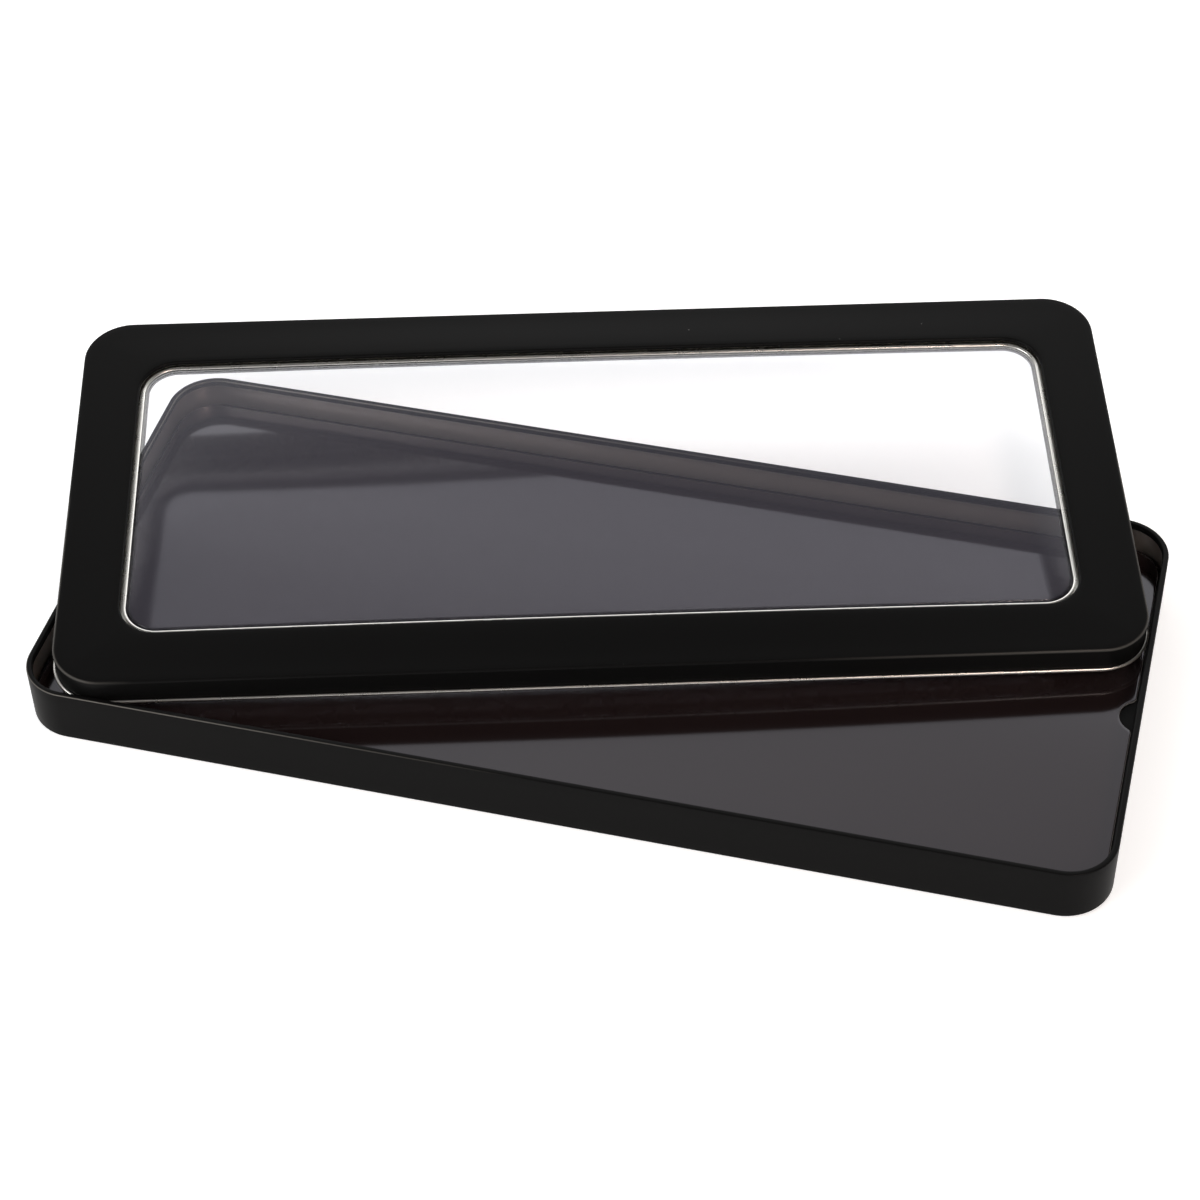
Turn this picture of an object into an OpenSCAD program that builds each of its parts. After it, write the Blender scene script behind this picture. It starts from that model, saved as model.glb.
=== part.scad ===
// Long flat palette tin: a tray with a raised floor and a lift-out magnetic liner,
// and a loose slip-over lid with a clear window, lying askew on the tray's rim.
// Millimetres, +X along the tray, +Z up, origin at the centre of the tray's underside.

/* [Tray] */
// Length of the tray over its wall, along X
tray_w = 250; // [210:1:300]
// Depth of the tray over its wall, along Y
tray_d = 114.2; // [95:0.1:140]
// Height from the table to the top of the rim
tray_h = 14; // [12.5:0.1:18]
// Radius of the tray's corners, seen from above
tray_corner_r = 11.5; // [10:0.1:15]
// Radius of the turn from the wall to the bottom
foot_r = 0.8; // [0.6:0.1:1.5]
// Thickness of the tinplate that the tray, floor and lid are pressed from
sheet = 0.25; // [0.2:0.01:0.32]

/* [Folded rim] */
// Width of the fold along the top of the wall, seen from above
rim_w = 1.4; // [1.2:0.05:2]
// Height of the fold
rim_h = 1.7; // [1.4:0.05:2.4]
// Radius of the fold's upper outer edge
rim_outer_r = 0.35; // [0.3:0.05:0.6]
// Radius of the fold's two inner edges
rim_inner_r = 0.45; // [0.35:0.05:0.6]
// Open seam between the fold's raw edge and the wall
rim_seam = 0.15; // [0.1:0.01:0.2]

/* [Raised floor] */
// Height of the floor's top face above the table
floor_top = 6; // [4:0.1:7.5]
// Gap between the floor's turned-down edge and the tray's wall
floor_gap = 0.5; // [0.3:0.05:1]
// Radius of the turn at the floor's edge
floor_edge_r = 0.6; // [0.4:0.05:1]

/* [Liner] */
// Thickness of the liner, a flexible magnet sheet with a glossy face
liner_t = 0.5; // [0.4:0.05:1]
// Gap between the liner and the rim's opening at the short sides
liner_gap_x = 0.45; // [0.3:0.05:2]
// Gap between the liner and the rim's opening at the long sides
liner_gap_y = 1; // [0.3:0.05:2]
// Radius of the liner's corners
liner_corner_r = 8; // [5:0.1:10]
// Air film between the liner and the raised floor
liner_film = 0.05; // [0.03:0.01:0.1]
// Radius of the thumb notch
notch_r = 5.2; // [4.5:0.1:7]
// Depth of the thumb notch, from the liner's right edge
notch_depth = 3.25; // [2.5:0.05:4.4]

/* [Lid] */
// Height of the lid from its top face to the underside of its hem
lid_h = 7.05; // [6:0.05:9]
// Clearance between the skirt and the tray's wall, each side
lid_gap = 0.1; // [0.05:0.01:0.3]
// Radius of the turn from the top face to the skirt
lid_edge_r = 0.7; // [0.5:0.05:1.2]
// Outer radius of the curled hem at the foot of the skirt
hem_r = 0.475; // [0.4:0.005:0.6]
// Open seam between the curl's raw edge and the skirt
hem_seam = 0.15; // [0.1:0.01:0.2]

/* [Window] */
// Distance from the skirt's outer face to the edge of the window opening
window_margin = 14.4; // [12:0.05:20]
// Corner radius of the window opening
window_corner_r = 9; // [7:0.1:14]
// Outer radius of the bend where the opening's edge turns down
window_roll_r = 0.5; // [0.4:0.05:0.6]
// How far the opening's edge runs on down below that bend
window_drop = 0.6; // [0.2:0.05:0.8]
// How far the ring that frames the pane shows inside the opening
ring_show = 1.35; // [1.2:0.05:3]
// Outer radius of the bead curled up along the ring's inner edge
bead_r = 0.5; // [0.45:0.01:0.6]
// Depth of the bead's axis below the lid's top face
bead_depth = 1.6; // [1.4:0.05:1.9]
// How far the ring's ledge reaches under the lid's top face
ring_ledge = 4; // [2.5:0.1:5]
// Width of the ring's flange, which is fixed under the lid's top face
ring_flange = 3.5; // [2:0.1:4.5]
// Thickness of the clear pane, formed from sheet
pane_t = 0.3; // [0.2:0.05:0.4]
// How far the pane's edge, fixed under the ring, reaches under the lid's top face
pane_lap = 3.5; // [2.5:0.1:6]
// How far the pane's middle stands above its edge
pane_rise = 0.8; // [0.7:0.05:1.1]
// Gap between the ring's bead and the step up to the pane's middle
pane_gap = 0.5; // [0.2:0.05:0.8]
// Outer radius of the bend at the top of that step
pane_bend_r = 0.45; // [0.4:0.05:0.6]

/* [Lid position] */
// Turn of the lid about the vertical, in degrees
lid_turn = 16.3; // [12:0.1:18]
// Tip of the lid about the line through its two resting points, in degrees
lid_tip = 5.63; // [4:0.01:6]
// Clearance between the hem and the inner face of the rim
side_clear = 0.1; // [0.08:0.01:0.3]
// Clearance between the hem and the top of the rim
rest_clear = 0.1; // [0.08:0.01:0.3]

/* [Hidden] */
$fn = 64;

lacquer = "#16161A";      // black stoved lacquer
tinplate = "#C9C9C4";     // bare tinplate
vinyl = "#3F3E43";        // glossy face of the magnet sheet
pane_clear = "#DDE6EA";   // clear polyester

// The opening that the folded rim leaves, as half sizes
mouth_x = tray_w/2 - rim_w;
mouth_y = tray_d/2 - rim_w;

// Raised floor, which fills the tray's inside but for its gap
floor_inset = sheet + floor_gap;
floor_w = tray_w - 2*floor_inset;
floor_d = tray_d - 2*floor_inset;
floor_corner_r = tray_corner_r - floor_inset;

// Liner
liner_w = 2*(mouth_x - liner_gap_x);
liner_d = 2*(mouth_y - liner_gap_y);
liner_z = floor_top + liner_film;
notch_x = liner_w/2 - notch_depth + notch_r;

// Lid, in its own frame: the origin is at the centre of its top face
lid_w = tray_w + 2*(sheet + lid_gap);
lid_d = tray_d + 2*(sheet + lid_gap);
lid_corner_r = tray_corner_r + lid_gap;
hem_axis = hem_r - sheet;         // the curl's axis stands this far outside the skirt
hem_out = hem_axis + hem_r;       // and its outer face this far
hem_corner_r = lid_corner_r + hem_out;

// Window
opening_w = lid_w - 2*window_margin;
opening_d = lid_d - 2*window_margin;
bead_axis = ring_show - bead_r;           // the bead's axis, inside the opening's edge
ring_bottom = -bead_depth - bead_r;       // underside of the ring's ledge
pane_step = ring_show + pane_gap;         // the pane's step, inside the opening's edge
pane_top = ring_bottom + pane_rise;       // top face of the pane's middle
pane_inset = 2*(pane_step + pane_bend_r); // from the opening to the flat middle, both sides

// Where the lid lies: two of its hem's corners are close to the rim's inner face, and its
// hem crosses the rim at two points. It tips about the line through those points.
hem_core_x = lid_w/2 + hem_out - hem_corner_r;
hem_core_y = lid_d/2 + hem_out - hem_corner_r;
turn_c = cos(lid_turn);
turn_s = sin(lid_turn);
lid_x = mouth_x - side_clear - hem_corner_r - hem_core_x*turn_c - hem_core_y*turn_s;
lid_y = hem_corner_r + hem_core_x*turn_s + hem_core_y*turn_c + side_clear - mouth_y;
hem_line = lid_w/2 + hem_axis;
along_left = (lid_x - hem_line*turn_c + mouth_x)/turn_s;
along_right = (mouth_y - lid_y - hem_line*turn_s)/turn_c;
rest_left = [-mouth_x, lid_y - hem_line*turn_s + along_left*turn_c];
rest_back = [lid_x + hem_line*turn_c - along_right*turn_s, mouth_y];
rest_z = tray_h + rest_clear;

// A rectangle w by d with corner radius r, as a flat shape
module round_rect(w, d, r) {
    square([w - 2*r, d], center = true);
    square([w, d - 2*r], center = true);
    for (x = [-1, 1], y = [-1, 1])
        translate([x*(w/2 - r), y*(d/2 - r)]) circle(r);
}

// Carries a flat profile round a rectangle w by d with corner radius r. The profile's X
// points outwards from the rectangle's outline and its Y points up.
module run_round(w, d, r) {
    for (side = [0, 180]) rotate([0, 0, side]) {
        translate([w/2, d/2 - r, 0]) rotate([90, 0, 0]) linear_extrude(d - 2*r) children();
        translate([-w/2 + r, d/2, 0]) rotate([90, 0, 90]) linear_extrude(w - 2*r) children();
        translate([w/2 - r, d/2 - r, 0])
            rotate_extrude(angle = 90) translate([r, 0]) children();
        rotate([0, 0, 90]) translate([d/2 - r, w/2 - r, 0])
            rotate_extrude(angle = 90) translate([r, 0]) children();
    }
}

// A quarter of a bend in sheet of thickness t, with outer radius r about the origin. It
// lies in the quadrant that the signs x and y name.
module bend(r, x, y, t = sheet) {
    intersection() {
        difference() {
            circle(r);
            circle(r - t);
        }
        translate([min(0, x*r), min(0, y*r)]) square(r);
    }
}

// The folded rim: up the wall, over the top, down, and back to the wall but for a seam
module rim_profile() {
    outer_c = rim_outer_r;
    inner_c = rim_w - rim_inner_r;
    low_c = rim_h - rim_inner_r;
    translate([-outer_c, -outer_c]) bend(rim_outer_r, 1, 1);
    translate([-inner_c, -sheet]) square([inner_c - outer_c, sheet]);
    translate([-inner_c, -rim_inner_r]) bend(rim_inner_r, -1, 1);
    translate([-rim_w, -low_c]) square([sheet, low_c - rim_inner_r]);
    translate([-inner_c, -low_c]) bend(rim_inner_r, -1, -1);
    translate([-inner_c, -rim_h]) square([inner_c - sheet - rim_seam, sheet]);
}

module tray_shell() {
    color(lacquer) {
        run_round(tray_w, tray_d, tray_corner_r) {
            union() {
                translate([0, tray_h]) rim_profile();
                translate([-sheet, foot_r]) square([sheet, tray_h - rim_outer_r - foot_r]);
                translate([-foot_r, foot_r]) bend(foot_r, 1, -1);
            }
        }
        linear_extrude(sheet)
            round_rect(tray_w - 2*foot_r, tray_d - 2*foot_r, tray_corner_r - foot_r);
    }
}

module raised_floor() {
    color(lacquer) {
        run_round(floor_w, floor_d, floor_corner_r) {
            union() {
                translate([-sheet, sheet])
                    square([sheet, floor_top - floor_edge_r - sheet]);
                translate([-floor_edge_r, floor_top - floor_edge_r]) bend(floor_edge_r, 1, 1);
            }
        }
        translate([0, 0, floor_top - sheet]) linear_extrude(sheet)
            round_rect(floor_w - 2*floor_edge_r, floor_d - 2*floor_edge_r,
                       floor_corner_r - floor_edge_r);
    }
}

module liner() {
    color(vinyl) translate([0, 0, liner_z]) linear_extrude(liner_t) difference() {
        round_rect(liner_w, liner_d, liner_corner_r);
        translate([notch_x, 0]) circle(notch_r);
    }
}

// Puts a shape drawn in the lid's own frame where the lid lies
module place_lid() {
    translate([rest_left[0], rest_left[1], rest_z])
        rotate(a = lid_tip, v = [rest_back[0] - rest_left[0], rest_back[1] - rest_left[1], 0])
            translate([lid_x - rest_left[0], lid_y - rest_left[1], lid_h])
                rotate([0, 0, lid_turn]) children();
}

// The curled hem, turned outwards: its axis is at the origin, and the skirt comes down
// on its inner side
module hem_profile() {
    difference() {
        circle(hem_r);
        circle(hem_r - sheet);
        translate([sheet - hem_r, 0]) square([hem_seam, hem_r]);
    }
}

module lid_shell() {
    color(lacquer) place_lid() {
        run_round(lid_w, lid_d, lid_corner_r) {
            union() {
                translate([-lid_edge_r, -lid_edge_r]) bend(lid_edge_r, 1, 1);
                translate([-sheet, hem_r - lid_h]) square([sheet, lid_h - hem_r - lid_edge_r]);
                translate([hem_axis, hem_r - lid_h]) hem_profile();
            }
        }
        translate([0, 0, -sheet]) linear_extrude(sheet) difference() {
            round_rect(lid_w - 2*lid_edge_r, lid_d - 2*lid_edge_r, lid_corner_r - lid_edge_r);
            round_rect(opening_w + 2*window_roll_r, opening_d + 2*window_roll_r,
                       window_corner_r + window_roll_r);
        }
        run_round(opening_w, opening_d, window_corner_r) {
            union() {
                translate([window_roll_r, -window_roll_r]) bend(window_roll_r, -1, 1);
                translate([0, -window_roll_r - window_drop]) square([sheet, window_drop]);
            }
        }
    }
}

// The ring's section, outwards from the opening's edge: a bead that shows in the window,
// a ledge over the pane's edge, a web, and a flange under the lid's top face
module ring_profile() {
    translate([-bead_axis, -bead_depth]) difference() {
        circle(bead_r);
        circle(bead_r - sheet);
        square(bead_r);
        translate([0, sheet - bead_r]) square([bead_r, bead_r - sheet]);
    }
    translate([-bead_axis, ring_bottom]) square([bead_axis + ring_ledge, sheet]);
    translate([ring_ledge, ring_bottom]) square([sheet, -sheet - ring_bottom]);
    translate([ring_ledge, -2*sheet]) square([ring_flange, sheet]);
}

module window_ring() {
    color(tinplate) place_lid()
        run_round(opening_w, opening_d, window_corner_r) union() ring_profile();
}

// The pane's border, outwards from the opening's edge: the bend at the edge of its middle,
// the step down inside the bead, and the lap under the ring
module pane_border() {
    translate([-pane_step - pane_bend_r, pane_top - pane_bend_r])
        bend(pane_bend_r, 1, 1, pane_t);
    translate([-pane_step - pane_t, ring_bottom - pane_t])
        square([pane_t, pane_rise + pane_t - pane_bend_r]);
    translate([-pane_step - pane_t, ring_bottom - pane_t])
        square([pane_step + pane_t + pane_lap, pane_t]);
}

module window_pane() {
    color(pane_clear) place_lid() {
        run_round(opening_w, opening_d, window_corner_r) union() pane_border();
        translate([0, 0, pane_top - pane_t]) linear_extrude(pane_t)
            round_rect(opening_w - pane_inset, opening_d - pane_inset,
                       window_corner_r - pane_inset/2);
    }
}

tray_shell();
raised_floor();
liner();
lid_shell();
window_ring();
window_pane();
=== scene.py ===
import math
import bmesh
import bpy
import numpy as np
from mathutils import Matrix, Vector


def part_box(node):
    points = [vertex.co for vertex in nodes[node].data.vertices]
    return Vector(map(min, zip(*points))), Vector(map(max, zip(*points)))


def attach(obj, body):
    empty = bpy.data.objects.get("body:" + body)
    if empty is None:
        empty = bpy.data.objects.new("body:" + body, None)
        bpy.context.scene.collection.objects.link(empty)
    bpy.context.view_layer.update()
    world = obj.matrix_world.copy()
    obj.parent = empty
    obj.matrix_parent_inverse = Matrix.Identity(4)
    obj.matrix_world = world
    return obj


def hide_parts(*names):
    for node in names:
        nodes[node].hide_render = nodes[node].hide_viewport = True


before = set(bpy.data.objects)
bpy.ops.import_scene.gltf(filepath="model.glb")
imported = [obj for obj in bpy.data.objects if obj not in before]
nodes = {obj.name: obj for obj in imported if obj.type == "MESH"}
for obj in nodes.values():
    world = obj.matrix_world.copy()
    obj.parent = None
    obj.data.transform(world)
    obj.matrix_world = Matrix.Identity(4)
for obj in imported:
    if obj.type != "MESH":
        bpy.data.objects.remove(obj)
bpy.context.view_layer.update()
scene = bpy.context.scene


def toLinear(hexColour):
    # sRGB hex text to linear RGBA
    srgb = np.array([int(hexColour[i:i + 2], 16) for i in (1, 3, 5)]) / 255
    linear = np.where(srgb <= 0.04045, srgb / 12.92, ((srgb + 0.055) / 1.055) ** 2.4)
    return (*linear.tolist(), 1.0)


def perMetre(millimetres):
    # texture scale whose cells are this wide
    return 1000 / millimetres


def addNode(tree, kind, links=None, **settings):
    # one shader node: settings set its properties or unlinked inputs, links join its inputs
    node = tree.nodes.new("ShaderNode" + kind)
    for key, value in settings.items():
        if hasattr(node, key):
            setattr(node, key, value)
        else:
            numbered = key.startswith("in") and key[2:].isdigit()
            node.inputs[int(key[2:]) if numbered else key.replace("_", " ")].default_value = value
    for key, socket in (links or {}).items():
        tree.links.new(socket, node.inputs[key])
    return node


def smoothStep(tree, value, stops, start, stop):
    # from start to stop, eased at both ends, as the value goes from the first of stops to the second
    return addNode(tree, "MapRange", {"Value": value}, interpolation_type="SMOOTHSTEP", in1=stops[0],
                   in2=stops[1], in3=start, in4=stop).outputs[0]


def newMaterial(name):
    material = bpy.data.materials.new(name)
    material.use_nodes = True
    material.node_tree.nodes.clear()
    return material, material.node_tree


def arc(centreX, centreZ, radius, start, stop, steps=8):
    # points of a circle from angle start to stop, in degrees
    angle = np.radians(np.linspace(start, stop, steps + 1))
    return np.column_stack([centreX + radius * np.cos(angle), centreZ + radius * np.sin(angle)])


def stations(perCorner=20, perSide=30):
    # once round a rounded rectangle: which core corner, as shares of the core's half sizes, and the
    # outward direction there. A side runs straight between two corners and a corner turns 90 degrees.
    core, out = [], []
    for quarter in range(4):
        angle = np.radians(90 * quarter)
        turn = angle + np.linspace(0, np.pi / 2, perCorner + 1)
        here = np.sign([math.cos(angle + np.pi / 4), math.sin(angle + np.pi / 4)])
        there = np.sign([math.cos(angle + 3 * np.pi / 4), math.sin(angle + 3 * np.pi / 4)])
        share = np.linspace(0, 1, perSide + 1)[1:-1, None]
        core += [np.repeat(here[None], perCorner + 1, 0), here + (there - here) * share]
        out += [np.column_stack([np.cos(turn), np.sin(turn)]),
                np.repeat([[math.cos(turn[-1]), math.sin(turn[-1])]], perSide - 1, 0)]
    return np.vstack(core), np.vstack(out)


def rings(base, profile):
    # a section carried round base = (half length, half depth, corner radius): one row per section
    # point with the half sizes, radius and height of the ring that it draws
    profile = np.asarray(profile)
    size = np.asarray(base) + profile[:, :1]
    return np.column_stack([size, profile[:, 1]])


def toMiddle(row, shares):
    # rings that shrink from this one to its middle at the same height
    share = np.asarray(shares)[:, None]
    return np.column_stack([share * row[:3], np.full(len(share), row[3])])


def skin(ringRows, **density):
    # grid of points: station u along the ring, row v of ringRows.
    # point = core corner * (half size - radius) + outward direction * radius
    core, out = stations(**density)
    half, radius, height = ringRows[:, :2], ringRows[:, 2], ringRows[:, 3]
    xy = core[:, None] * (half - radius[:, None])[None] + out[:, None] * radius[None, :, None]
    return np.dstack([xy, np.broadcast_to(height, xy.shape[:2])])


def edgeRows(section, base, centre, side=1):
    # how far each ring lies in the rounded upper corner of a section, on its outer side or, for -1,
    # its inner side: sin(2 * turn)^3, which is 1 at the corner's middle, and 0 outside the corner
    away = (np.column_stack([section[:, 0] - base[0], section[:, 3]]) - np.asarray(centre)) * (side, 1)
    turn = np.arctan2(away[:, 1], away[:, 0])
    inCorner = (away > -1e-6).all(1)
    return np.where(inCorner, np.sin(2 * turn) ** 3, 0)


def ramp(values, start, stop):
    # 0 at start to 1 at stop, level beyond them
    return np.clip((values - start) / (stop - start), 0, 1)


meshing = dict(merge=1e-7, sharpFrom=35)


def makePiece(name, points, body, material, loop=False, marks=None):
    # a closed shell from a grid that wraps along u, and along v too where loop is true; points closer
    # than merge metres become one, and edges that turn more than sharpFrom degrees stay sharp
    around, along = points.shape[:2]
    index = np.arange(around * along).reshape(around, along)
    near = index if loop else index[:, :-1]
    far = np.roll(index, -1, 1) if loop else index[:, 1:]
    nearNext, farNext = np.roll(near, -1, 0), np.roll(far, -1, 0)
    quads = np.stack([near, nearNext, farNext, far], -1).reshape(-1, 4)
    mesh = bpy.data.meshes.new(name)
    mesh.from_pydata(points.reshape(-1, 3) / 1000, [], quads.tolist())
    for mark, values in (marks or {}).items():
        mesh.attributes.new(mark, "FLOAT", "POINT").data.foreach_set(
            "value", np.broadcast_to(values, (around, along)).astype(np.float32).ravel())
    shell = bmesh.new()
    shell.from_mesh(mesh)
    bmesh.ops.remove_doubles(shell, verts=shell.verts, dist=meshing["merge"])
    bmesh.ops.recalc_face_normals(shell, faces=shell.faces)
    shell.to_mesh(mesh)
    shell.free()
    mesh.shade_smooth()
    mesh.set_sharp_from_angle(angle=math.radians(meshing["sharpFrom"]))
    mesh.materials.append(material)
    piece = bpy.data.objects.new(name, mesh)
    scene.collection.objects.link(piece)
    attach(piece, body)
    return piece


def nodePoints(node):
    # the points of a frame node's mesh, in millimetres
    mesh = nodes[node].data
    flat = np.empty(len(mesh.vertices) * 3)
    mesh.vertices.foreach_get("co", flat)
    return flat.reshape(-1, 3) * 1000


def faceValues(mesh, what, width):
    # one row for each face, with this many numbers in it
    flat = np.empty(len(mesh.polygons) * width)
    mesh.polygons.foreach_get(what, flat)
    return flat.reshape(-1, width)


def plateAxes(node):
    # a flat plate's own axes as rows: along it, across it, and up out of its largest face
    mesh = nodes[node].data
    normals, areas = faceValues(mesh, "normal", 3), faceValues(mesh, "area", 1)[:, 0]
    up = normals[areas.argmax()]
    up = up * np.sign(up[2])
    upright = np.abs(normals @ up) < 0.01
    across = normals[upright][areas[upright].argmax()]
    across = across * np.sign(across[1])
    return np.array([np.cross(across, up), across, up])


print("helpers ready")

noiseRange = (0.3, 0.7)                            # most of a noise texture's values lie between these

# the edges' painted highlight takes its colour, metal share and roughness from this table
lacquer = dict(colour="#101010", paintedHighlightColour="#A9A59E", roughness=0.42, level=0.015, coat=0.07, coatRoughness=0.24,
               rubbed=0.3, rubbedRoughness=0.3, peelMm=0.9, peelDepth=0.0035, peelStrength=0.5, smudgeMm=38,
               smoother=0.03, rougher=0.04, dust="#8A8A88", dustMm=13, dustShare=0.010)


def stovedLacquer():
    # black stoving lacquer rolled on tinplate: satin, with faint orange peel and a little dust, and a painted
    # highlight on folded edges, which the edge attribute makes lighter, smoother and metallic
    material, tree = newMaterial("stovedLacquer")
    place = addNode(tree, "TexCoord").outputs["Object"]
    smudge = addNode(tree, "TexNoise", {"Vector": place}, Scale=perMetre(lacquer["smudgeMm"]), Detail=3.0)
    rough = addNode(tree, "MapRange", {"Value": smudge.outputs["Fac"]}, in1=noiseRange[0],
                    in2=noiseRange[1], in3=lacquer["roughness"] - lacquer["smoother"],
                    in4=lacquer["roughness"] + lacquer["rougher"])
    dust = addNode(tree, "TexVoronoi", {"Vector": place}, Scale=perMetre(lacquer["dustMm"]))
    speck = addNode(tree, "Math", {0: dust.outputs["Distance"]}, operation="LESS_THAN",
                    in1=lacquer["dustShare"])
    dusty = addNode(tree, "Mix", {0: speck.outputs[0]}, data_type="RGBA", in6=toLinear(lacquer["colour"]),
                    in7=toLinear(lacquer["dust"]))
    # the edge attribute carries the share of painted highlight on folded edges
    edge = addNode(tree, "Attribute", attribute_name="edge")
    paintedSheen = addNode(tree, "Math", {0: edge.outputs["Fac"]}, operation="MULTIPLY", in1=lacquer["rubbed"])
    smooth = addNode(tree, "Mix", {0: edge.outputs["Fac"], 2: rough.outputs[0]},
                     in3=lacquer["rubbedRoughness"])
    colour = addNode(tree, "Mix", {0: paintedSheen.outputs[0], 6: dusty.outputs[2]}, data_type="RGBA",
                     in7=toLinear(lacquer["paintedHighlightColour"]))
    peel = addNode(tree, "TexNoise", {"Vector": place}, Scale=perMetre(lacquer["peelMm"]), Detail=2.0)
    bump = addNode(tree, "Bump", {"Height": peel.outputs["Fac"]}, Strength=lacquer["peelStrength"],
                   Distance=lacquer["peelDepth"] / 1000)
    shader = addNode(tree, "BsdfPrincipled", {"Base Color": colour.outputs[2], "Roughness": smooth.outputs[0],
                     "Metallic": paintedSheen.outputs[0], "Normal": bump.outputs[0]}, IOR=1.5,
                     Specular_IOR_Level=lacquer["level"], Coat_Weight=lacquer["coat"],
                     Coat_Roughness=lacquer["coatRoughness"])
    addNode(tree, "OutputMaterial", {"Surface": shader.outputs[0]})
    return material


vinylFace = dict(colour="#1E1616", tint=(0.91, 0.90, 0.99, 1.0), roughness=0.10, waveMm=14, waveDepth=0.02,
                 waveStrength=0.3, cut="#8E8C8A", cutRoughness=0.5)


def glossyVinyl():
    # calendered vinyl face: smooth and glossy, so it mirrors what stands over it, with a paler cut edge
    material, tree = newMaterial("glossyVinyl")
    place = addNode(tree, "TexCoord").outputs["Object"]
    wave = addNode(tree, "TexNoise", {"Vector": place}, Scale=perMetre(vinylFace["waveMm"]), Detail=1.0)
    bump = addNode(tree, "Bump", {"Height": wave.outputs["Fac"]}, Strength=vinylFace["waveStrength"],
                   Distance=vinylFace["waveDepth"] / 1000)
    cut = addNode(tree, "Attribute", attribute_name="cut")
    colour = addNode(tree, "Mix", {0: cut.outputs["Fac"]}, data_type="RGBA",
                     in6=toLinear(vinylFace["colour"]), in7=toLinear(vinylFace["cut"]))
    rough = addNode(tree, "MapRange", {"Value": cut.outputs["Fac"]}, in3=vinylFace["roughness"],
                    in4=vinylFace["cutRoughness"])
    shader = addNode(tree, "BsdfPrincipled", {"Base Color": colour.outputs[2], "Roughness": rough.outputs[0],
                     "Normal": bump.outputs[0]}, IOR=1.5, Specular_Tint=vinylFace["tint"])
    addNode(tree, "OutputMaterial", {"Surface": shader.outputs[0]})
    return material


rolled = dict(grainMm=6, spread=0.02)
brightTin = dict(colour="#D2D0CB", roughness=0.28, metallic=1.0)
varnishedTin = dict(colour="#BEB4AB", roughness=0.36, metallic=0.85)


def bareTinplate(name, colour, roughness, metallic):
    # rolled tinplate: silver where it is bright, and duller, warmer and a little milky under the
    # inside varnish
    material, tree = newMaterial(name)
    place = addNode(tree, "TexCoord").outputs["Object"]
    grain = addNode(tree, "TexNoise", {"Vector": place}, Scale=perMetre(rolled["grainMm"]), Detail=2.0)
    rough = addNode(tree, "MapRange", {"Value": grain.outputs["Fac"]}, in1=noiseRange[0],
                    in2=noiseRange[1], in3=roughness - rolled["spread"], in4=roughness + rolled["spread"])
    shader = addNode(tree, "BsdfPrincipled", {"Roughness": rough.outputs[0]}, Base_Color=toLinear(colour),
                     Metallic=metallic)
    addNode(tree, "OutputMaterial", {"Surface": shader.outputs[0]})
    return material


# one of the passed colours is a painted shade for the pane's bend, standing in for refraction
polyester = dict(flat=(0.945, 0.945, 0.95, 1), bendShade=(0.5, 0.5, 0.5, 1), haze="#DDDDF6", hazeShare=0.026,
                 gloss=(0.95, 0.95, 1.0, 1), roughness=0.03, straightOn=0.026, grazing=0.97, power=5.0)


def clearPolyester():
    # thin clear polyester: passes nearly all light straight on under a faint haze that lifts the dark
    # things behind it, mirrors a little from each face, and passes less light along its pressed bend, a
    # painted shade that stands in for refraction there.
    # mirrored share = straightOn + grazing * (1 - cosine of the angle to the normal)^power
    material, tree = newMaterial("clearPolyester")
    bend = addNode(tree, "Attribute", attribute_name="bend")
    passed = addNode(tree, "Mix", {0: bend.outputs["Fac"]}, data_type="RGBA", in6=polyester["flat"],
                     in7=polyester["bendShade"])
    straight = addNode(tree, "BsdfTransparent", {"Color": passed.outputs[2]})
    haze = addNode(tree, "BsdfDiffuse", Color=toLinear(polyester["haze"]))
    through = addNode(tree, "MixShader", {1: straight.outputs[0], 2: haze.outputs[0]},
                      in0=polyester["hazeShare"])
    gloss = addNode(tree, "BsdfGlossy", Color=polyester["gloss"], Roughness=polyester["roughness"])
    facing = addNode(tree, "LayerWeight", Blend=0.5)
    grazing = addNode(tree, "Math", {0: facing.outputs["Facing"]}, operation="POWER", in1=polyester["power"])
    share = addNode(tree, "Math", {0: grazing.outputs[0]}, operation="MULTIPLY_ADD",
                    in1=polyester["grazing"], in2=polyester["straightOn"])
    shader = addNode(tree, "MixShader", {0: share.outputs[0], 1: through.outputs[0], 2: gloss.outputs[0]})
    addNode(tree, "OutputMaterial", {"Surface": shader.outputs[0]})
    return material


blackLacquer = stovedLacquer()
vinyl = glossyVinyl()
tinplate = bareTinplate("brightTinplate", **brightTin)
dullTinplate = bareTinplate("varnishedTinplate", **varnishedTin)
clear = clearPolyester()
print("materials ready")

paintGap = 0.02                                    # mm between the paint and the sheet modelled inside it

trayLow, trayHigh = (np.array(corner) * 1000 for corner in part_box("tray_shell"))
traySize = trayHigh - trayLow
# the last three entries place the rim's painted highlight along its length and set how strong it is
tray = dict(base=(traySize[0] / 2, traySize[1] / 2, 11.5), height=traySize[2], sheet=0.25, paint=0.1,
            foot=0.8, rimWidth=1.4, rimHeight=1.7, rimOuter=0.35, rimInner=0.45, rings=7,
            rubbedNear=(-5, -85), rubbedFar=(50, -95), farHighlightShare=1.8)


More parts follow.
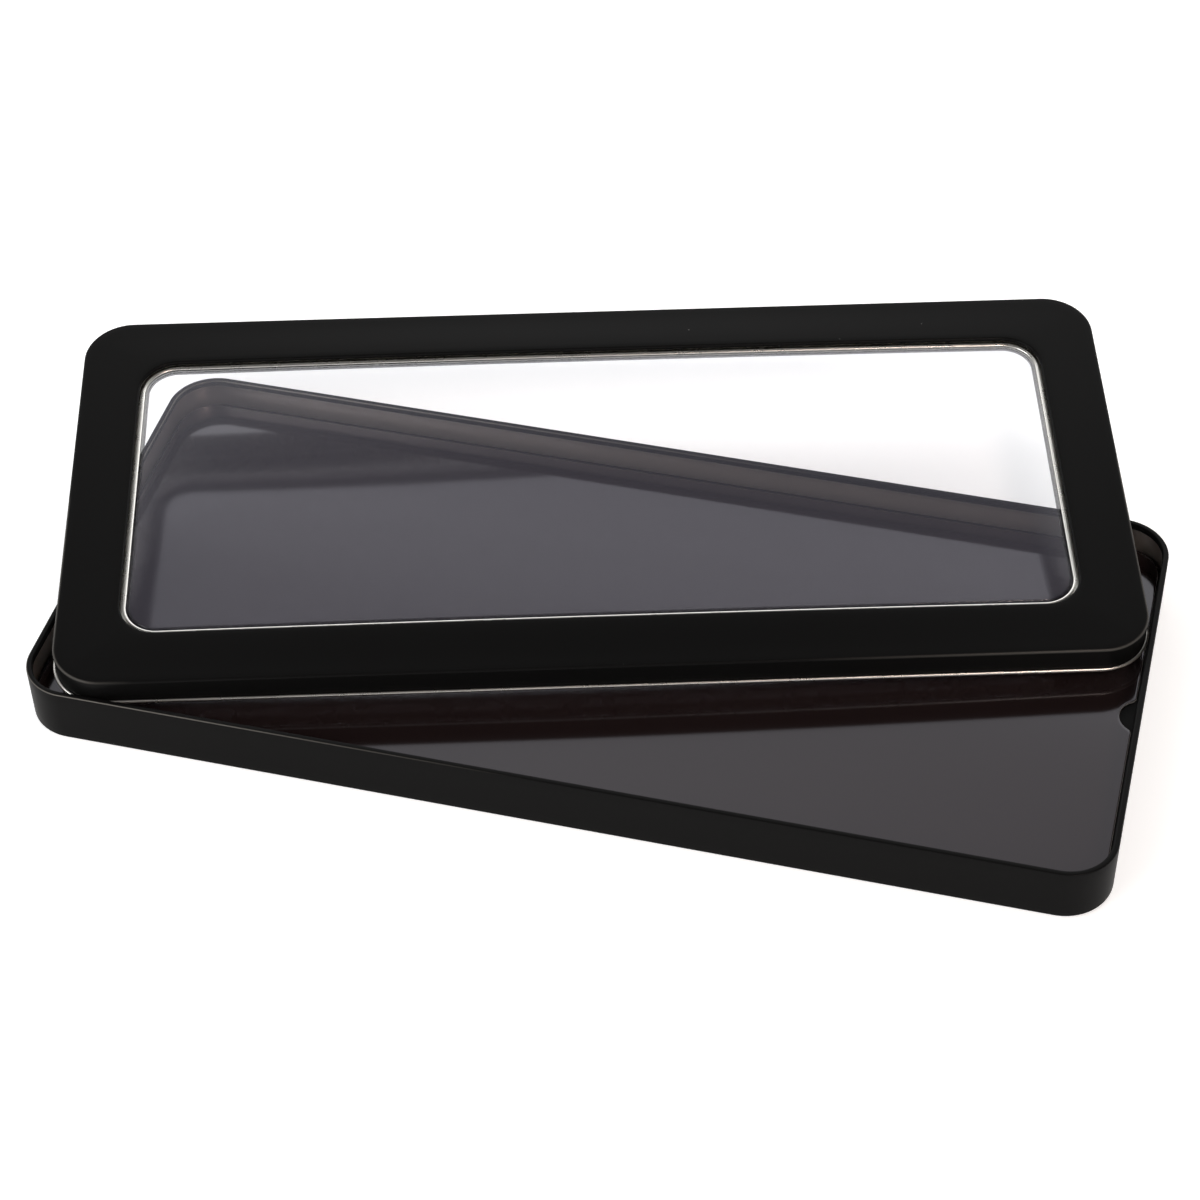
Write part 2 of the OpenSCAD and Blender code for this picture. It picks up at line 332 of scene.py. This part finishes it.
def trayPaintedSection():
    # from the middle of the underside out, up the wall, over the folded rim, and back down behind the
    # paint to the middle of the floor
    t, h = tray, tray["height"]
    under = toMiddle(rings(t["base"], [(-t["foot"], 0)])[0], np.linspace(0, 1, t["rings"])[:-1])
    outside = rings(t["base"], np.vstack([
        arc(-t["foot"], t["foot"], t["foot"], 270, 360),
        [(0, z) for z in np.linspace(t["foot"], h - t["rimOuter"], 6)[1:-1]],
        arc(-t["rimOuter"], h - t["rimOuter"], t["rimOuter"], 0, 90),
        arc(t["rimInner"] - t["rimWidth"], h - t["rimInner"], t["rimInner"], 90, 180),
        arc(t["rimInner"] - t["rimWidth"], h - t["rimHeight"] + t["rimInner"], t["rimInner"], 180, 270),
        [(-t["paint"], h - t["rimHeight"])],
        [(-t["paint"], z) for z in np.linspace(h - t["rimHeight"], t["foot"], 6)[1:-1]],
        arc(-t["foot"], t["foot"], t["foot"] - t["paint"], 360, 270)]))
    inside = toMiddle(rings(t["base"], [(-t["foot"], t["paint"])])[0], np.linspace(1, 0, t["rings"])[1:])
    return np.vstack([under, outside, inside])


def trayInsideSection():
    # the sheet's bare inner side: from the middle of the floor out and up the wall to the fold, and
    # back down against the paint
    t, top = tray, tray["height"] - tray["rimHeight"] - paintGap
    behind, sheet = t["paint"] + paintGap, t["sheet"]
    foot = (-t["foot"], t["foot"])
    floor = toMiddle(rings(t["base"], [(-t["foot"], sheet)])[0], np.linspace(0, 1, t["rings"])[:-1])
    wall = rings(t["base"], np.vstack([
        arc(*foot, t["foot"] - sheet, 270, 360), [(-sheet, top), (-behind, top)],
        arc(*foot, t["foot"] - behind, 360, 270)]))
    under = toMiddle(rings(t["base"], [(-t["foot"], behind)])[0], np.linspace(1, 0, t["rings"])[1:])
    return np.vstack([floor, wall, under])


trayPaint = trayPaintedSection()
trayPoints = skin(trayPaint)
rimEdge = edgeRows(trayPaint, tray["base"], (-tray["rimOuter"], tray["height"] - tray["rimOuter"]))
lipEdge = edgeRows(trayPaint, tray["base"], (tray["rimInner"] - tray["rimWidth"],
                                             tray["height"] - tray["rimInner"]), -1)
# painted highlight on the rim: outside towards the near left corner, and inside towards the far left one
rimPaintedHighlight = np.where(trayPoints[..., 1] < 0, rimEdge * ramp(trayPoints[..., 0], *tray["rubbedNear"]),
                     tray["farHighlightShare"] * lipEdge * ramp(trayPoints[..., 0], *tray["rubbedFar"]))
trayShell = makePiece("trayShell", trayPoints, "tray", blackLacquer,
                      marks={"edge": rimPaintedHighlight})
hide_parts("tray_shell")
trayInside = makePiece("trayInside", skin(trayInsideSection()), "tray", dullTinplate)
print("tray ready")

floorLow, floorHigh = (np.array(corner) * 1000 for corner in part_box("raised_floor"))
raised = dict(base=((floorHigh[0] - floorLow[0]) / 2, (floorHigh[1] - floorLow[1]) / 2, 10.75),
              low=floorLow[2], top=floorHigh[2], sheet=0.25, edge=0.6, insets=(3, 2.2, 1.4), sink=0.9,
              rings=25)


def raisedFloorSection():
    # from the middle of the top out, over the rolled edge, down to the tray, and back up inside
    r = raised
    axis = (-r["edge"], r["top"] - r["edge"])
    border = rings(r["base"], [(-inset, r["top"]) for inset in r["insets"]])
    top = np.vstack([toMiddle(border[0], np.linspace(0, 1, r["rings"])), border[1:]])
    edge = rings(r["base"], np.vstack([
        arc(*axis, r["edge"], 90, 0), [(0, r["low"]), (-r["sheet"], r["low"])],
        arc(*axis, r["edge"] - r["sheet"], 0, 90)]))
    under = toMiddle(rings(r["base"], [(-r["edge"], r["top"] - r["sheet"])])[0],
                     np.linspace(1, 0, r["rings"])[1:])
    return np.vstack([top, edge, under])


def dip(points):
    # the thin floor and what lies on it sink a little: sink * (1 - (x / half)^2) * (1 - (y / half)^2)
    share = np.clip(np.abs(points[..., :2]) / np.array(raised["base"][:2]), 0, 1)
    lower = points.copy()
    lower[..., 2] -= raised["sink"] * (1 - share ** 2).prod(-1)
    return lower


raisedFloor = makePiece("raisedFloor", dip(skin(raisedFloorSection())), "tray", blackLacquer)
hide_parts("raised_floor")
print("raised floor ready")

linerLow, linerHigh = (np.array(corner) * 1000 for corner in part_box("liner"))
liner = dict(base=((linerHigh[0] - linerLow[0]) / 2, (linerHigh[1] - linerLow[1]) / 2, 8.0),
             low=linerLow[2], top=linerHigh[2], corner=0.08, border=0.6, notchRadius=5.2, notchDepth=3.25,
             rings=31, perSide=120)


def linerSurface():
    # the outline is the rounded rectangle, pushed in by a circle at the middle of the right side:
    # a point right of the circle's left half moves left to it
    base, corner, low, top = liner["base"], liner["corner"], liner["low"], liner["top"]
    edge = rings(base, np.vstack([
        [(-liner["border"], top)],
        arc(-corner, top - corner, corner, 90, 0, 4),
        arc(-corner, low + corner, corner, 0, -90, 4),
        [(-liner["border"], low)]]))
    grid = skin(edge, perSide=liner["perSide"])
    centre = base[0] - liner["notchDepth"] + liner["notchRadius"]
    reach = liner["notchRadius"] + (base[0] - edge[:, 0])      # the circle grows as the outline shrinks
    inCircle = np.abs(grid[:, :, 1]) < reach
    pushed = centre - np.sqrt(np.maximum(reach ** 2 - grid[:, :, 1] ** 2, 0))
    bite = inCircle & (grid[:, :, 0] > pushed)
    grid[:, :, 0] = np.where(bite, pushed, grid[:, :, 0])
    shares = np.linspace(0, 1, liner["rings"])[:-1, None]
    level = np.array([1, 1, 0])
    face = grid[:, :1] * level * shares + np.array([0, 0, top])
    under = grid[:, -1:] * level * shares[::-1] + np.array([0, 0, low])
    return dip(np.concatenate([face, grid, under], 1))


linerPoints = linerSurface()
cutRows = np.zeros(linerPoints.shape[1])
cutRows[liner["rings"] + 1:-liner["rings"]] = 1    # from the top edge's rounding down the cut side
linerSheet = makePiece("linerSheet", linerPoints, "liner", vinyl, marks={"cut": cutRows})
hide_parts("liner")
print("liner ready")

lidAxes = plateAxes("window_pane")
lidPoints = nodePoints("lid_shell") @ lidAxes.T
lidLow, lidHigh = lidPoints.min(0), lidPoints.max(0)
# the last three entries place the panel edge's painted highlight and set how strong it is
lid = dict(origin=np.array([*(lidLow[:2] + lidHigh[:2]) / 2, lidHigh[2]]) @ lidAxes,
           height=lidHigh[2] - lidLow[2], sheet=0.25, paint=0.06, edge=0.7, corner=11.6,
           hem=0.475, hemSeam=0.15, hemCut=10, hemThin=0.02, margin=14.4, openingCorner=9.0, roll=0.5,
           drop=0.6, paintEnd=0.85, crown=0.8, panelRings=12, rubbedRight=(45, 105),
           rubbedLeft=(-111, -117), rubbedShare=0.5)
lid["hemOut"] = 2 * lid["hem"] - lid["sheet"]
lid["base"] = (*(lidHigh[:2] - lidLow[:2]) / 2 - lid["hemOut"], lid["corner"])
lid["opening"] = (lid["base"][0] - lid["margin"], lid["base"][1] - lid["margin"], lid["openingCorner"])


def onLid(points):
    # from the lid's own axes, with its origin at the middle of the top face, to the frame's axes
    return points @ lidAxes + lid["origin"]


def bow(points):
    # the panel rises towards the window: crown * (1 - (x / half length)^2) at the opening and inside
    # it, fading to nothing at the lid's edge
    half = np.array(lid["base"][:2])
    inset = np.min(half - np.abs(points[..., :2]), -1) / lid["margin"]
    fade = np.clip(inset, 0, 1)
    fade = fade * fade * (3 - 2 * fade)
    bowed = points.copy()
    bowed[..., 2] += lid["crown"] * (1 - (points[..., 0] / half[0]) ** 2) * fade
    return bowed


def lidSection(inset, depth):
    # the face of the sheet at this inset behind its painted side: up the window's turned-down edge
    # from this depth, over the panel and down the skirt
    roll = rings(lid["opening"], np.vstack([
        [(inset, z) for z in np.linspace(-depth, -lid["roll"], 4)[:-1]],
        arc(lid["roll"], -lid["roll"], lid["roll"] - inset, 180, 90)]))
    edge = rings(lid["base"], np.vstack([
        arc(-lid["edge"], -lid["edge"], lid["edge"] - inset, 90, 0),
        [(-inset, z) for z in np.linspace(-lid["edge"], lid["hem"] - lid["height"], 6)[1:]]]))
    panel = np.linspace(roll[-1], edge[0], lid["panelRings"])[1:-1]
    return np.vstack([roll, panel, edge])


paintedSide = lidSection(0, lid["paintEnd"])
paintBack = lidSection(lid["paint"], lid["paintEnd"])
lidPaint = np.vstack([paintedSide, paintBack[::-1]])
lidGrid = skin(lidPaint)
lidEdge = edgeRows(lidPaint, lid["base"], (-lid["edge"], -lid["edge"]))
# painted highlight on the panel's near edge, towards its two corners
cornerward = ramp(lidGrid[..., 0], *lid["rubbedRight"]) + ramp(lidGrid[..., 0], *lid["rubbedLeft"])
lidPaintedHighlight = lid["rubbedShare"] * lidEdge * cornerward * (lidGrid[..., 1] < 0)
lidShell = makePiece("lidShell", onLid(bow(lidGrid)), "lid", blackLacquer,
                     loop=True, marks={"edge": lidPaintedHighlight})
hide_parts("lid_shell")


def bareSideSection():
    # the sheet's bare metal: the inner face, the cut edge round the window, and the hem curled
    # outwards, whose outside is the sheet's bare side. The curl stops hemSeam short of the skirt, and
    # its inner side stops hemCut degrees before its outer one.
    turned = lid["roll"] + lid["drop"]
    top = lidSection(lid["paint"], turned)
    bottom = lidSection(lid["sheet"], turned)
    axis = (lid["hem"] - lid["sheet"], lid["hem"] - lid["height"])
    seam = math.degrees(math.acos((lid["hem"] - lid["sheet"] - lid["hemSeam"]) / lid["hem"]))
    end = 360 + 180 - seam
    outer = rings(lid["base"], arc(*axis, lid["hem"], 180, end, 24))
    inside = lid["hem"] - lid["sheet"] + lid["hemThin"]
    inner = rings(lid["base"], arc(*axis, inside, end - lid["hemCut"], 180, 20))
    return np.vstack([top[:-1], inner[::-1][:-1], outer[::-1], bottom[::-1][1:]])


lidBareSide = makePiece("lidBareSide", onLid(bow(skin(bareSideSection()))), "lid",
                        tinplate, loop=True)
print("lid ready")

ring = dict(show=1.35, bead=0.5, beadDepth=1.6, beadEnd=60, ledge=4.0, flange=3.5, sheet=0.25)


def windowRingSection():
    # from the bead's raw edge round the bead, along the ledge under the panel, up the web and out
    # along the flange, and back along the other face
    r = ring
    x, z = r["bead"] - r["show"], -r["beadDepth"]
    low = z - r["bead"]
    return rings(lid["opening"], np.vstack([
        arc(x, z, r["bead"], r["beadEnd"], 270, 28),
        [(r["ledge"] + r["sheet"], low), (r["ledge"] + r["sheet"], -2 * r["sheet"]),
         (r["ledge"] + r["flange"], -2 * r["sheet"]), (r["ledge"] + r["flange"], -r["sheet"]),
         (r["ledge"], -r["sheet"]), (r["ledge"], low + r["sheet"])],
        arc(x, z, r["bead"] - r["sheet"], 270, r["beadEnd"], 20)]))


windowRing = makePiece("windowRing", onLid(bow(skin(windowRingSection()))), "lid",
                       tinplate, loop=True)
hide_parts("window_ring")
print("window ring ready")

pane = dict(thickness=0.3, lap=3.5, rise=0.8, gap=0.5, bend=0.45, heel=0.12, heelUnder=0.3, rings=16,
            slack=0.02)


def windowPaneSection():
    # from the middle of the top out, over the bend and down the step beside the bead, out under the
    # ring, and back along the underside
    p = pane
    low = -ring["beadDepth"] - ring["bead"]
    step = -ring["show"] - p["gap"]
    top, t = low + p["rise"], p["thickness"]
    bendX, bendZ = step - p["bend"], top - p["bend"]
    upper = toMiddle(rings(lid["opening"], [(bendX, top)])[0], np.linspace(0, 1, p["rings"])[:-1])
    border = rings(lid["opening"], np.vstack([
        arc(bendX, bendZ, p["bend"], 90, 0),
        arc(step + p["heel"], low + p["heel"], p["heel"], 180, 270, 4),
        [(p["lap"], low), (p["lap"], low - t)],
        arc(step - t + p["heelUnder"], low - t + p["heelUnder"], p["heelUnder"], 270, 180, 4),
        arc(bendX, bendZ, p["bend"] - t, 0, 90)]))
    under = toMiddle(rings(lid["opening"], [(bendX, top - t)])[0], np.linspace(1, 0, p["rings"])[1:])
    return np.vstack([upper, border, under])


paneSection = windowPaneSection()
fromOpening = lid["opening"][0] - paneSection[:, 0]
flatFrom = ring["show"] + pane["gap"] + pane["bend"]
# rows in the pane's bend get the painted shade
bendShadeRows = (fromOpening > ring["show"]) & (fromOpening < flatFrom - pane["slack"])
windowPane = makePiece("windowPane", onLid(bow(skin(paneSection))), "lid", clear,
                       marks={"bend": bendShadeRows})
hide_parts("window_pane")
print("window pane ready")

table = dict(reach=3.0, height=-1e-4, colour="#F4F4F4", lift=0.5)

tableMesh = bpy.data.meshes.new("tableTop")
tableMesh.from_pydata([(x * table["reach"], y * table["reach"], table["height"])
                       for x, y in ((-1, -1), (1, -1), (1, 1), (-1, 1))], [], [(0, 1, 2, 3)])
tableTop = bpy.data.objects.new("tableTop", tableMesh)
scene.collection.objects.link(tableTop)


def paleTable():
    # matt and pale, with lift of white added where the camera, a mirror or a clear sheet looks at it
    material, tree = newMaterial("paleTable")
    matt = addNode(tree, "BsdfDiffuse", Color=toLinear(table["colour"]))
    path = addNode(tree, "LightPath")
    glossy = addNode(tree, "Math", {0: path.outputs["Is Camera Ray"], 1: path.outputs["Is Glossy Ray"]},
                     operation="MAXIMUM")
    seen = addNode(tree, "Math", {0: glossy.outputs[0], 1: path.outputs["Is Transmission Ray"]},
                   operation="MAXIMUM")
    lift = addNode(tree, "Math", {0: seen.outputs[0]}, operation="MULTIPLY", in1=table["lift"])
    glow = addNode(tree, "Emission", {"Strength": lift.outputs[0]}, Color=toLinear("#FFFFFF"))
    both = addNode(tree, "AddShader", {0: matt.outputs[0], 1: glow.outputs[0]})
    addNode(tree, "OutputMaterial", {"Surface": both.outputs[0]})
    return material


tableMesh.materials.append(paleTable())

studio = dict(backTurn=14, high=0.10, near=0.02, back=1.22, foot=1.3, fall=(0.75, 0.81), low=(0.66, 0.74),
              wide=(0.15, 0.65), strip=1.4, stripTop=(0.28, 0.45))


def studioWorld():
    # a white room lit from behind: brightest low down at the back, dark overhead and on the near side
    # but for a pale strip low down all round; the camera itself sees plain white.
    # level = the larger of behind * above * foot and strip
    world = bpy.data.worlds.new("studioWorld")
    world.use_nodes = True
    tree = world.node_tree
    tree.nodes.clear()
    way = addNode(tree, "TexCoord").outputs["Generated"]
    height = addNode(tree, "SeparateXYZ", {0: way}).outputs["Z"]
    turn = math.radians(studio["backTurn"])
    towards = addNode(tree, "VectorMath", {0: way}, operation="DOT_PRODUCT",
                      in1=(-math.sin(turn), math.cos(turn), 0)).outputs["Value"]
    behind = smoothStep(tree, towards, studio["wide"], studio["near"], studio["back"])
    above = smoothStep(tree, height, studio["fall"], 1.0, 0.0)
    foot = smoothStep(tree, height, studio["low"], studio["foot"], 1.0)
    strip = smoothStep(tree, height, studio["stripTop"], studio["strip"], studio["high"])
    upper = addNode(tree, "Math", {0: behind, 1: above}, operation="MULTIPLY")
    low = addNode(tree, "Math", {0: upper.outputs[0], 1: foot}, operation="MULTIPLY")
    level = addNode(tree, "Math", {0: low.outputs[0], 1: strip}, operation="MAXIMUM")
    room = addNode(tree, "Background", {"Strength": level.outputs[0]}, Color=toLinear("#FFFFFF"))
    plain = addNode(tree, "Background", Color=toLinear("#FFFFFF"), Strength=1.0)
    path = addNode(tree, "LightPath")
    seen = addNode(tree, "MixShader", {0: path.outputs["Is Camera Ray"], 1: room.outputs[0],
                                       2: plain.outputs[0]})
    addNode(tree, "OutputWorld", {"Surface": seen.outputs[0]})
    scene.world = world


studioWorld()


def softBox(name, place, aim, size, power, colour="#FFFFFF"):
    # a rectangular light that faces its aim, with the first side of its size level
    light = bpy.data.lights.new(name, "AREA")
    light.shape = "RECTANGLE"
    light.size, light.size_y = size
    light.energy = power
    light.color = toLinear(colour)[:3]
    lamp = bpy.data.objects.new(name, light)
    scene.collection.objects.link(lamp)
    lamp.location = place
    toAim = np.array(aim) - np.array(place)
    flat = math.hypot(toAim[0], toAim[1])
    lamp.rotation_euler = (math.atan2(flat, -toAim[2]), 0, math.atan2(-toAim[0], toAim[1]))


softBox("keyBox", place=(-0.76, -0.70, 0.76), aim=(-0.03, 0, 0), size=(1.0, 0.45), power=7.5)
softBox("warmBox", place=(0.56, -0.53, 0.88), aim=(0.10, 0, 0), size=(0.28, 0.35), power=3.6,
        colour="#FFE9DC")
# a low lit card behind, which the liner mirrors under the window
softBox("backCard", place=(-0.10, 0.40, 0.2375), aim=(-0.10, 0, 0.2375), size=(0.9, 0.355), power=0.66)

cameraSettings = dict(place=(0.12779, -0.46696, 0.48840), turn=(45.657, 0.319, 13.682), lens=87.44,
                      shift=(-0.046, 0))
cameraData = bpy.data.cameras.new("camera")
cameraData.lens = cameraSettings["lens"]
cameraData.shift_x, cameraData.shift_y = cameraSettings["shift"]
camera = bpy.data.objects.new("camera", cameraData)
camera.location = cameraSettings["place"]
camera.rotation_euler = np.radians(cameraSettings["turn"])
scene.collection.objects.link(camera)
scene.camera = camera
scene.view_settings.view_transform = "Standard"
print("floor, light and camera ready")
